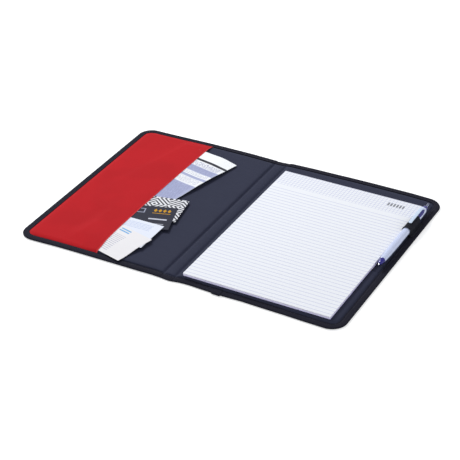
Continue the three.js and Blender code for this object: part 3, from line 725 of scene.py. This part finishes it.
def makePocket():
    width, half, inset = sides["front"]["width"], cover["half"], pocket["inset"]
    reach = width - inset
    mouth = pocket["mouth"] - sides["front"]["hinge"]
    x, y, s, depth = coverGrid("front", pocket, -mouth, [at - mouth for at in pocket["hemAt"]],
                               pocket["outer"][0], pocket["ends"][0])
    x = x + (pocketMouth(y) - pocket["mouth"]) * np.clip((reach - s) / (reach + mouth), 0, 1) ** 3
    top = np.minimum.reduce([
        drapedHeight(x, y, depth) + pocket["thickness"],
        np.interp(width - s, *pocket["outer"]),
        np.interp(half - np.abs(y), *pocket["ends"]),
        np.where(s > width - cover["radius"], np.interp(depth, *pocket["outer"]), aboveAll)])
    fromMouth = s + mouth
    top = top - pocket["groove"] * bell(fromMouth, pocket["hem"], pocket["grooveHalf"])
    top = top + pocket["lip"] * bell(fromMouth, pocket["lipAt"], pocket["lipHalf"])
    piece = coverSheet("frontPocketCloth", x, y, top, top - pocket["thickness"],
                       pocketMaterial(), "front_cover")
    standIn(piece, "red_pocket", "front_pocket")
    row = np.s_[4:-4, np.abs(fromMouth[0] - pocket["hem"]).argmin()]  # short of the binding
    return points(*shifted(x[row], y[row]), top[row] + stitchLift)


hemLine = makePocket()


# Pocket for the pad's card, across the tail of the back cover

padPocket = {"thickness": 0.4, "mouth": -35.0, "inset": 6.5, "step": 3.0, "hem": 9.0,
             "groove": 0.3, "grooveHalf": 0.6, "flat": (0.232, 0.130), "moveLeast": -0.5,
             "crease": ((1.65, 2.2, 3.2, 9.0, 9.9), (2.3, 2.9, 3.9, 5.6, 5.9)),
             "outer": ((6, 9.2, 10.0, 11.5, 19.5, 20.1), (2.3, 2.3, 3.9, 4.95, 5.8, 5.9)),
             "tailInset": (6, 9.2, 10.0, 11.0, 11.65),
             "tail": ((0, 0.35, 0.8, 1), (2.3, 4.2, 5.6, 5.9))}


def makePadPocket():
    width, crease = sides["back"]["width"], padPocket["crease"][0]
    hem, wide = padPocket["mouth"] - padPocket["hem"], padPocket["grooveHalf"]
    x, y, s, depth = coverGrid("back", padPocket, crease[0], crease, padPocket["outer"][0],
                               padPocket["tailInset"], (hem - wide, hem, hem + wide),
                               padPocket["mouth"])
    moved = np.maximum(shifted(x, y)[1] - y, padPocket["moveLeast"])
    foot, brim = padPocket["tailInset"][1], padPocket["tailInset"][-1]
    rise = (cover["half"] + y - foot) / (brim - foot - moved)
    top = np.minimum.reduce([
        np.interp(s, *padPocket["crease"]), np.interp(width - s, *padPocket["outer"]),
        np.interp(rise, *padPocket["tail"]),
        np.where(s > width - padPocket["outer"][0][-2], np.interp(depth, *padPocket["outer"]),
                 aboveAll)])
    top = top - padPocket["groove"] * bell(y, hem, wide)
    piece = coverSheet("padPocketCloth", x, y, top, top - padPocket["thickness"],
                       padPocketMaterial, "back_cover")
    standIn(piece, "lining", "pad_pocket")
    padPocket["flat"]
    row = np.s_[np.abs(y[:, 0] - hem).argmin(), 3:-3]
    return points(*shifted(x[row], y[row]), top[row] + stitchLift)


padHemLine = makePadPocket()


# Pen loop: a flat band sewn to the binding, round the pen and back

loop = {"centre": (226.3, 10.9), "radius": 5.8, "thickness": 0.6, "low": 66.0, "high": 102.0,
        "start": -42, "end": 262, "foot": ((231.4, 3.62), (233.6, 3.5), (236.4, 3.5)),
        "head": ((236.4, 4.12), (233.9, 4.14), (232.4, 4.55)), "around": 44, "rows": 25,
        "flare": 0.85, "flareTo": 78.0, "flareTowards": 75.0, "flareSpan": 0.35, "pinch": 0.12,
        "flat": (0.049, 0.036)}


def loopMaterial():
    shader = Shader("loop band", colour(24, 26, 34), 0.85, 0.12)
    along, across, _ = shader.parts(shader.lay())
    ribs = shader.wave(along, 0.9)
    fine = shader.noise(shader.lay(), 1.2, 3)
    shader.set({"Base Color": shader.tone(0.6, 1.6, ribs * 0.5 + fine * 0.5)})
    shader.bump(ribs + shader.wave(across, 0.7) * 0.5, 0.12)
    return shader.material


def makeLoop():
    centre, half = np.array(loop["centre"]), loop["thickness"] / 2
    angles = np.radians(np.linspace(loop["start"], loop["end"], loop["around"]))
    ring = centre + loop["radius"] * np.stack([np.cos(angles), np.sin(angles)], -1)
    line = np.concatenate([loop["head"], ring, loop["foot"]])
    ahead = np.gradient(line, axis=0)
    ahead /= np.linalg.norm(ahead, axis=1)[:, None]
    normal = np.stack([-ahead[:, 1], ahead[:, 0]], -1)
    length = lengthsAlong(line)
    section = np.concatenate([line - normal * half, (line + normal * half)[::-1]])
    spread = np.zeros_like(line)
    towards = np.cos(angles - math.radians(loop["flareTowards"]))
    share = np.clip(towards + loop["flareSpan"], 0, 1)[:, None]
    spread[len(loop["head"]):-len(loop["foot"])] = share * (ring - centre) / loop["radius"]
    spread = np.concatenate([spread, spread[::-1]])
    lengths = np.concatenate([length, length[::-1]])
    stations, lays = [], []
    for row in range(loop["rows"]):
        t = row / (loop["rows"] - 1)
        y = loop["low"] + (loop["high"] - loop["low"]) * t
        pinch = loop["pinch"] if row in (0, loop["rows"] - 1) else 0.0
        shrink = np.concatenate([normal * pinch, -normal[::-1] * pinch])
        opening = np.clip((loop["flareTo"] - y) / (loop["flareTo"] - loop["low"]), 0, 1) ** 2
        flat = section + shrink + loop["flare"] * opening * spread
        stations.append(points(flat[:, 0], y, flat[:, 1]))
        lays.append(np.stack([lengths, np.full(len(flat), y)], -1))
    piece = sweptPiece("penLoopBand", stations[::-1], loopMaterial(), "back_cover", 60,
                       lay=np.concatenate(lays[::-1]))
    standIn(piece, "loop_band", "pen_loop")
    loop["flat"]


makeLoop()
print("stage: pockets and loop")


# Stitches by Geometry Nodes: in the grooves of tape and hems, and at the loop's foot

stitch = {"pitch": 2.8, "length": 2.0, "thread": 0.42, "seed": 7, "clear": 1.9,
          "flat": 0.8, "shortest": 0.86, "longest": 1.1, "sink": 0.24, "under": 0.15,
          "footX": 235.2, "footZ": 4.46, "footY": (68.0, 100.0)}


def stitchTree():
    tree = bpy.data.node_groups.new("stitches", "GeometryNodeTree")
    for name, kind in (("Path", "Geometry"), ("Pitch", "Float"), ("Length", "Float"),
                       ("Thread", "Float"), ("Seed", "Int"), ("Material", "Material")):
        tree.interface.new_socket(name, in_out="INPUT", socket_type="NodeSocket" + kind)
    tree.interface.new_socket("Stitches", in_out="OUTPUT", socket_type="NodeSocketGeometry")
    graph = Graph(tree)
    given = graph.node("NodeGroupInput")
    curve = graph.node("GeometryNodeMeshToCurve", {"Mesh": given["Path"]})
    even = graph.node("GeometryNodeResampleCurve", {"Curve": curve, "Length": given["Pitch"]},
                      mode="LENGTH")
    turn = graph.node("FunctionNodeAlignRotationToVector",
                      {"Vector": graph.node("GeometryNodeInputTangent")}, axis="X")
    ball = graph.node("GeometryNodeMeshUVSphere", {"Segments": 10, "Rings": 6, "Radius": 0.5})
    size = graph.node("ShaderNodeCombineXYZ", {0: given["Length"], 1: given["Thread"],
                                               2: given["Thread"] * stitch["flat"]})
    shape = graph.node("GeometryNodeTransform", {"Geometry": ball, "Scale": size})
    draw = graph.node("FunctionNodeRandomValue",
                      {2: stitch["shortest"], 3: stitch["longest"], "Seed": given["Seed"]},
                      data_type="FLOAT")[1]
    place = graph.node("GeometryNodeInstanceOnPoints",
                       {"Points": even, "Instance": shape, "Rotation": turn, "Scale": draw})
    real = graph.node("GeometryNodeRealizeInstances", {0: place})
    paint = graph.node("GeometryNodeSetMaterial", {"Geometry": real,
                                                   "Material": given["Material"]})
    graph.node("NodeGroupOutput", {0: paint})
    return tree


def stitchPiece(name, runs, material, body, tree):
    places, edges = [], []
    for run in runs:
        edges += [(k, k + 1) for k in range(len(places), len(places) + len(run) - 1)]
        places += (np.asarray(run) * mm).tolist()
    mesh = bpy.data.meshes.new(name + "Path")
    mesh.from_pydata(places, edges, [])
    carrier = bpy.data.objects.new(name + "Path", mesh)
    scene.collection.objects.link(carrier)
    modifier = carrier.modifiers.new("stitches", "NODES")
    modifier.node_group = tree
    values = {"Pitch": stitch["pitch"] * mm, "Length": stitch["length"] * mm,
              "Thread": stitch["thread"] * mm, "Seed": stitch["seed"], "Material": material}
    for item in tree.interface.items_tree:
        if item.in_out == "INPUT" and item.name in values:
            modifier[item.identifier] = values[item.name]
    bpy.context.view_layer.update()
    graph = bpy.context.evaluated_depsgraph_get()
    made = bpy.data.meshes.new_from_object(carrier.evaluated_get(graph))
    bpy.data.objects.remove(carrier)
    made.shade_smooth()
    piece = bpy.data.objects.new(name, made)
    scene.collection.objects.link(piece)
    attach(piece, body)


def grooveRun(side, z):  # the groove's line on a cover, clear of the crease
    path = bindingPath(side)
    path = path[path[:, 0] > stitch["clear"]]
    across = path[:, :2] - path[:, 2:] * binding["groove"]
    x = sides[side]["hinge"] + sides[side]["turn"] * across[:, 0]
    return points(*shifted(x, across[:, 1]), z)


def makeStitches():
    tree = stitchTree()
    high, low = binding["top"] - stitch["sink"], stitch["under"]
    foot = points(stitch["footX"], np.linspace(*stitch["footY"], 5), stitch["footZ"])
    stitchPiece("backStitches", [grooveRun("back", high), grooveRun("back", low), foot],
                threadMaterial, "back_cover", tree)
    stitchPiece("frontStitches", [grooveRun("front", high), grooveRun("front", low)],
                threadMaterial, "front_cover", tree)
    x = np.linspace(sides["front"]["hinge"] + stitch["clear"], -stitch["clear"], 6)
    runs = []
    for end in (-1, 1):
        flatX, y = shifted(x, np.full(6, end * (cover["half"] - binding["groove"])))
        for z in (binding["spineTop"] - stitch["sink"], low):
            runs.append(points(flatX, y, z))
    stitchPiece("spineStitches", runs, threadMaterial, "spine", tree)
    stitchPiece("hemStitches", [hemLine], redThreadMaterial, "front_cover", tree)
    stitchPiece("padHemStitches", [padHemLine], threadMaterial, "back_cover", tree)


makeStitches()
print("stage: stitches")


# Paper and card materials: prints are drawn with line masks, in millimetres

ink = colour(58, 58, 66)
paleRule = colour(190, 194, 226)


# The shader, and x, y and z from the paper's corner
def paperShader(name, base, paper, roughness=0.6, gloss=0.15):
    shader = Shader(name, base, roughness, gloss)
    place = shader.local((*paper["corner"], 0), paper["turn"])
    fibres = shader.noise(place, 1.4, 4, 0.6)
    shader.bump(fibres, 0.03, 0.6)
    shader.shade = shader.tone(0.97, 1.02, fibres)
    return shader, *shader.parts(place)


def words(shader, x, y, box, pitch, tall, seed, bare=0.42):  # uneven dashes, in place of print
    row = shader.math("FLOOR", y * (1 / pitch))
    spot = shader.node("ShaderNodeCombineXYZ", {0: x * 0.8, 1: row * 7.31 + seed})
    gaps = shader.between(shader.noise(spot, 1.0, 1), bare, bare + 0.08)
    return shader.lines(y, pitch, tall, pitch / 2) * gaps * shader.rectangle(x, y, box, 0.1)


def leafletMaterial(paper):
    shader, x, y, _ = paperShader("leaflet paper", colour(250, 252, 255), paper, 0.45)
    left = -paper["size"][0]
    for low, high in ((-53.5, -38.5), (-69.5, -63.5), (-210, -86.5)):
        shader.printOn(shader.rectangle(x, y, (left, 0, low, high), 1.0), colour(170, 176, 209))
    shader.printOn(shader.rectangle(x, y, (left, 0, -24.8, -19.8)), colour(18, 20, 36))
    for seed, (right, low, high) in enumerate(((-4, -37, -26), (-4, -52, -40), (-4, -62.5, -55),
                                               (-4, -85, -71), (-5, -200, -88))):
        rows = words(shader, x, y, (left + 8, right, low, high), 2.7, 1.35, 3.0 + seed, 0.38)
        shader.printOn(rows * (0.55 if seed else 0.8), colour(112, 116, 162))
    return shader.material


def patternedMaterial(paper):  # plain concentric diamonds in black on white
    shader, x, y, _ = paperShader("patterned card", colour(236, 237, 242), paper, 0.4)
    ring = abs((x + 26.0) % 38.0 - 19.0) + abs((y + 2.0) % 34.0 - 17.0)
    shader.printOn(shader.lines(ring, 6.6, 3.1, 1.0, 0.2), colour(30, 31, 44))
    return shader.material


def darkMaterial(paper):
    shader, x, y, _ = paperShader("dark card", colour(42, 44, 58), paper, 0.6, 0.08)
    diamond = abs(x % 6.5 - 3.25) + abs(y + 10.5) * 0.62
    row = shader.between(diamond, 2.3, 2.9, 1, 0) * shader.rectangle(x, y, (-32.5, -6.5, -16, -5))
    rule = shader.rectangle(x, y, (-32.5, -6.5, -18.4, -17.2))
    shader.printOn(shader.math("MAXIMUM", row, rule), colour(206, 152, 30))
    shader.printOn(shader.rectangle(x, y, (-34, -8, -34.5, -31.5)), colour(206, 208, 222))
    shader.printOn(shader.rectangle(x, y, (-27, -10, -46, -44.4)) * 0.7, colour(206, 208, 222))
    ring = shader.math("MAXIMUM", abs(x + 49), abs(y + 13))
    shader.printOn(shader.inside(ring, 4.2, 5.6) * 0.7, colour(196, 202, 226))
    return shader.material


def paleMaterial(paper):
    shader, x, y, _ = paperShader("pale card", colour(234, 239, 252), paper, 0.55)
    rows = words(shader, x, y, (-52, -12, -22, -6), 3.0, 1.0, 2.0, 0.36)
    shader.printOn(rows * 0.5, colour(120, 150, 208))
    return shader.material


def noteMaterial(paper):
    shader, x, y, _ = paperShader("note card", colour(241, 239, 241), paper)
    for low, high in ((-11, -8.6), (-6.4, -4)):
        shader.printOn(shader.rectangle(x, y, (-52, -34, low, high)), colour(110, 176, 226))
    rows = words(shader, x, y, (-72, -30, -56, -19), 3.5, 1.0, 6.0, 0.33)
    shader.printOn(rows * 0.6, colour(132, 136, 168))
    return shader.material


paperMaterials = {"leaflet": leafletMaterial, "patterned_card": patternedMaterial,
                  "dark_card": darkMaterial, "pale_card": paleMaterial,
                  "note_card": noteMaterial}


curl = {"arch": 1.7, "archAt": 27.0, "archHalf": 20.0, "archDown": 26.0,  # at the leaflet's head
        "corner": 0.9, "cornerAcross": 30.0, "cornerDown": 45.0,
        "edge": 1.6, "edgeHalf": 14.0, "edgeFrom": 20.0, "edgeOver": 30.0, "clearFrom": 14.0}


def paperBend(name, y, across, down):  # how the free part stands off its plane
    if name == "leaflet":
        arch = bell(across, curl["archAt"], curl["archHalf"]) * bell(down, 0, curl["archDown"])
        corner = (np.clip((curl["cornerDown"] - down) / curl["cornerDown"], 0, 1)
                  * np.clip((curl["cornerAcross"] - across) / curl["cornerAcross"], 0, 1))
        edge = (np.clip((down - curl["edgeFrom"]) / curl["edgeOver"], 0, 1)
                * bell(across, 0, curl["edgeHalf"])
                * np.clip((y - curl["clearFrom"]) / curl["edgeOver"], 0, 1))
        return curl["arch"] * arch - curl["corner"] * corner ** 1.5 + curl["edge"] * edge
    return noteDroop(y) if name == "note_card" else np.zeros_like(y)


def makePaper(name):
    paper = papers[name]
    across, down = (steps(0, size, stack["grid"], (stack["rim"], size - stack["rim"]))[::-1]
                    for size in paper["size"])
    across, down = np.meshgrid(across, down)
    x, y = paperPoints(paper, across, down)
    sewn = np.clip((stack["sewnFrom"] - y) / stack["sewnOver"], 0, 1)
    low = np.maximum(paperLow(paper, x) + paperBend(name, y, across, down),
                     stack["least"] - stack["sewnDrop"] * sewn)
    piece = sheetPiece(name + "Sheet", points(x, y, low + stack["thickness"]),
                       points(x, y, low), paperMaterials[name](paper), "loose_" + name)
    standIn(piece, "leaflet_paper" if name == "leaflet" else name, name)


for name in papers:
    makePaper(name)
print("stage: papers")


# Writing pad: a block of leaves that don't quite line up, a printed top sheet

pad = {"left": 9.9, "right": 219.9, "tail": -159.35, "head": 137.65, "low": 5.5, "reliefLow": 6.0,
       "relief": 126.35, "top": 9.55, "leaves": 44, "slip": 0.14, "tailSlip": -0.05,
       "corner": 1.0, "seed": 51, "sheetLow": 9.65, "sheetTop": 9.8, "grid": 6.0,
       "violetTo": 6.9, "paleFrom": 7.7}
padOrigin = {"corner": (pad["left"], pad["tail"]), "turn": 0.0}


def padSheetMaterial():  # ruled, with a grid at the head, and blank on its back
    shader, x, y, z = paperShader("pad sheet", colour(247, 249, 255), padOrigin, 0.65)
    plain = shader.shade
    rules = shader.lines(y, 7.19, 0.8, 250.0 % 7.19, 0.15)
    shader.printOn(rules * shader.rectangle(x, y, (0, 210, 4.0, 251.0)) * 0.9, paleRule)
    squares = shader.math("MAXIMUM", shader.lines(y, 5.0, 0.6, 261.0 % 5, 0.12),
                          shader.lines(x, 5.0, 0.6, 0.0, 0.12))
    shader.printOn(squares * shader.rectangle(x, y, (0, 210, 261, 297)) * 0.8, paleRule)
    blocks = shader.lines(x, 4.4, 2.6, 167.0 % 4.4, 0.3)
    shader.printOn(blocks * shader.rectangle(x, y, (165, 190, 277.5, 285.5), 0.4) * 0.75, ink)
    upper = shader.between(z, pad["sheetLow"] + 0.05, pad["sheetLow"] + 0.09)
    shader.set({"Base Color": shader.mix(upper, plain, shader.shade)})
    return shader.material


def padBlockMaterial():
    shader, _, _, z = paperShader("pad block", colour(236, 240, 250), padOrigin, 0.75)
    # the leaves' edges are violet-tinted; darker low down and paler higher up is painted shade and
    # painted light
    height = shader.between(z, pad["violetTo"], pad["paleFrom"])
    shader.shade = shader.mix(height, colour(226, 222, 255), colour(242, 240, 255))
    shader.printOn(shader.lines(z, 0.42, 0.12) * 0.15, colour(180, 178, 230))
    return shader.material


def roundedOutline(x0, x1, y0, y1, radius, count=5):
    outline = []
    for cx, cy, start in ((x1 - radius, y0 + radius, -90), (x1 - radius, y1 - radius, 0),
                          (x0 + radius, y1 - radius, 90), (x0 + radius, y0 + radius, 180)):
        for angle in np.radians(np.linspace(start, start + 90, count)):
            outline.append((cx + radius * math.cos(angle), cy + radius * math.sin(angle)))
    return np.array(outline)


def makePadBlock():
    draw = np.random.default_rng(pad["seed"])
    heights = np.linspace(pad["low"], pad["top"], pad["leaves"] + 1)
    rings = []
    for low, high in zip(heights[:-1], heights[1:]):
        slipX, slipY = draw.uniform(-pad["slip"], pad["slip"], 2)
        relief = 0.0 if low >= pad["reliefLow"] else pad["relief"]
        outline = roundedOutline(pad["left"] + slipX, pad["right"] + slipX,
                                 pad["tail"] + max(slipY, pad["tailSlip"]) + relief,
                                 pad["head"], pad["corner"])
        for z in (low, high):
            rings.append(np.concatenate([outline, np.full((len(outline), 1), z)], 1))
    piece = sweptPiece("padLeaves", rings, padBlockMaterial(), "writing_pad", 30)
    standIn(piece, "white_paper", "pad_sheets")


def makeTopSheet():
    x, y = np.meshgrid(steps(pad["left"], pad["right"], pad["grid"]),
                       steps(pad["tail"], pad["head"], pad["grid"]))
    piece = sheetPiece("padTopSheet", points(x, y, pad["sheetTop"]),
                       points(x, y, pad["sheetLow"]), padSheetMaterial(), "top_sheet")
    standIn(piece, "white_paper", "pad_top_sheet")


makePadBlock()
makeTopSheet()
print("stage: writing pad")


# Plastic and metal

def plasticMaterial(name, base, roughness, gloss=0.5, clear=0.0):
    shader = Shader(name, base, roughness, gloss, {"Transmission Weight": clear})
    place = shader.local()
    fine = shader.noise(place, 3.0, 2)
    shader.set({"Base Color": shader.tone(0.96, 1.03, shader.noise(place, 0.15, 2)),
                "Roughness": shader.between(fine, 0.2, 0.8, roughness * 0.8, roughness * 1.3)})
    shader.bump(fine, 0.01 * (1 - clear))
    return shader.material


def metalMaterial():
    shader = Shader("bright metal", (0.5, 0.51, 0.54), 0.28, 0.5, {"Metallic": 1.0})
    fine = shader.noise(shader.scaled(shader.local(), (4, 0.4, 4)), 1.0, 3)
    shader.set({"Base Color": shader.tone(0.85, 1.15, fine),
                "Roughness": shader.between(fine, 0.2, 0.8, 0.2, 0.38)})
    shader.bump(fine, 0.01)
    return shader.material


whitePlastic = plasticMaterial("white plastic", colour(210, 220, 250), 0.14)
palePlastic = plasticMaterial("pale plastic", colour(212, 228, 250), 0.16)
navyPlastic = plasticMaterial("navy plastic", colour(24, 18, 128), 0.2, 0.35)
clearPlastic = plasticMaterial("clear plastic", colour(176, 184, 214), 0.08, 0.5, 0.85)
gumMaterial = fibreMaterial("gum", colour(214, 216, 230), 1.2, 0.5, 0.05)
penMetal = metalMaterial()


# Pen: turned parts about the pen's axis, distances from the seam of barrel and tip

pen = {"x": 226.3, "z": 10.9, "seam": -12.5, "around": 48,
       "barrel": ((4.0, 0.0), (4.15, 0.25), (4.75, 14), (5.2, 39.9), (5.3, 70), (5.3, 112),
                  (5.1, 130), (4.7, 138.5), (4.3, 140.6), (3.8, 141.5)),
       "tip": ((1.35, -11), (1.65, -11), (1.8, -10.85), (2.25, -9.8), (2.85, -7.4), (3.35, -5),
               (3.8, -2.2), (4.02, -0.5), (3.95, -0.1), (2.95, -0.1), (2.95, 8), (1.35, 8)),
       "collar": ((2.95, 134), (2.95, 141.6), (3.45, 141.6), (3.6, 141.8), (3.6, 146.2),
                  (3.45, 146.6), (3.1, 146.8), (1.9, 146.8), (1.9, 134)),
       "bore": 3.15, "fine": (2, 136, 40), "clipAround": 24, "clipSquare": (0.35, 0.6),
       "clipCrown": 0.25,
       "clipAt": (90, 90.2, 90.7, 91.5, 92.6, 93.4, 94.4, 96, 104, 114, 124, 130, 132.5, 135, 137,
                  137.8, 138),
       "clipHalf": (0.4, 1.0, 1.75, 2.35, 2.6, 2.6, 2.6, 2.6, 2.6, 2.6, 2.6, 2.6, 2.6, 2.5, 2.2,
                    1.7, 1.2),
       "clipLow": (7.0, 6.8, 6.6, 6.5, 6.45, 6.45, 6.6, 6.9, 6.95, 6.95, 6.95, 6.8, 5.6, 5.35,
                   5.35, 5.4, 5.6),
       "clipHigh": (7.3, 7.5, 7.65, 7.75, 7.82, 7.84, 7.86, 7.88, 7.9, 7.9, 7.9, 7.88, 7.8, 7.5,
                    6.9, 6.3, 5.9),
       "insertFrom": 114.0, "insertTo": 136.0, "insertAngle": 50.0, "insertHalf": 31.0,
       "insertRows": 25, "insertColumns": 13, "insertProud": 0.12, "insertDeep": 0.6}


def onAxis(a, x, z):  # points about the pen's axis, at a distance from the seam
    return points(pen["x"] + x, pen["seam"] + a, pen["z"] + z)


def lathePiece(name, profile, node, material, slot):
    turn = np.radians(np.linspace(360, 0, pen["around"], endpoint=False))
    stations = [onAxis(a, r * np.cos(turn), r * np.sin(turn)) for r, a in profile]
    piece = sweptPiece(name, stations, material, "pen", 35, closed=True)
    standIn(piece, slot, node)


def makeClip():
    angle = np.radians(np.linspace(360, 0, pen["clipAround"], endpoint=False))
    across, up = (np.sign(wave) * np.abs(wave) ** power
                  for wave, power in zip((np.cos(angle), np.sin(angle)), pen["clipSquare"]))
    stations = []
    for a, half, low, high in zip(pen["clipAt"], pen["clipHalf"], pen["clipLow"],
                                  pen["clipHigh"]):
        x = half * across
        z = (high + low) / 2 + (high - low) / 2 * up
        crown = pen["clipCrown"] * (x / max(pen["clipHalf"])) ** 2 * (z > (high + low) / 2)
        stations.append(onAxis(a, x, z - crown))
    piece = sweptPiece("penClip", stations, palePlastic, "pen", 60)
    standIn(piece, "pale_plastic", "pen_clip")


def makeInsert():  # a navy almond let into the barrel
    a = np.linspace(pen["insertFrom"], pen["insertTo"], pen["insertRows"])[:, None]
    across = np.linspace(-1, 1, pen["insertColumns"])[None, :]
    along = (a - a[0]) / (a[-1] - a[0])
    width = np.sqrt(np.clip(np.sin(np.pi * along ** 0.85), 0.001, 1)) * pen["insertHalf"]
    angle = np.radians(pen["insertAngle"] + width * across)
    outer = np.array(pen["barrel"])
    skinRadius = np.interp(a, outer[:, 1], outer[:, 0])
    layers = []
    for radius in (skinRadius + pen["insertProud"] * (1 - across ** 4),
                   skinRadius - pen["insertDeep"]):
        layers.append(onAxis(a, radius * np.cos(angle), radius * np.sin(angle))[:, ::-1])
    piece = sheetPiece("penInsert", layers[0], layers[1], navyPlastic, "pen", 40)
    standIn(piece, "navy_plastic", "pen_insert")


def makePen():
    barrel = np.array(pen["barrel"])
    fine = np.unique(np.concatenate([barrel[:, 1], np.linspace(*pen["fine"])]))
    radius = np.interp(fine, barrel[:, 1], barrel[:, 0])
    radius[3:-4] = np.convolve(radius, np.ones(5) / 5, "same")[3:-4]
    bore = [(pen["bore"], fine[-1]), (pen["bore"], fine[0])]
    lathePiece("penBarrel", [*zip(radius, fine), *bore], "pen_barrel", whitePlastic,
               "white_plastic")
    lathePiece("penTip", pen["tip"], "pen_tip", navyPlastic, "navy_plastic")
    lathePiece("penCollar", pen["collar"], "pen_collar", navyPlastic, "navy_plastic")
    makeClip()
    makeInsert()


makePen()
print("stage: pen")

# CAD nodes that keep their shape get their materials here

keptNodes = {"pen_button": clearPlastic, "pen_refill": palePlastic, "pen_nib": penMetal,
             "pen_spring": penMetal, "spine_board": boardMaterial, "pad_backing_card": boardMaterial,
             "pad_gum_strip": gumMaterial}
for name, material in keptNodes.items():
    kept = nodes[name].data.materials
    for slot in range(len(kept)):
        kept[slot] = material
print("stage: kept parts")
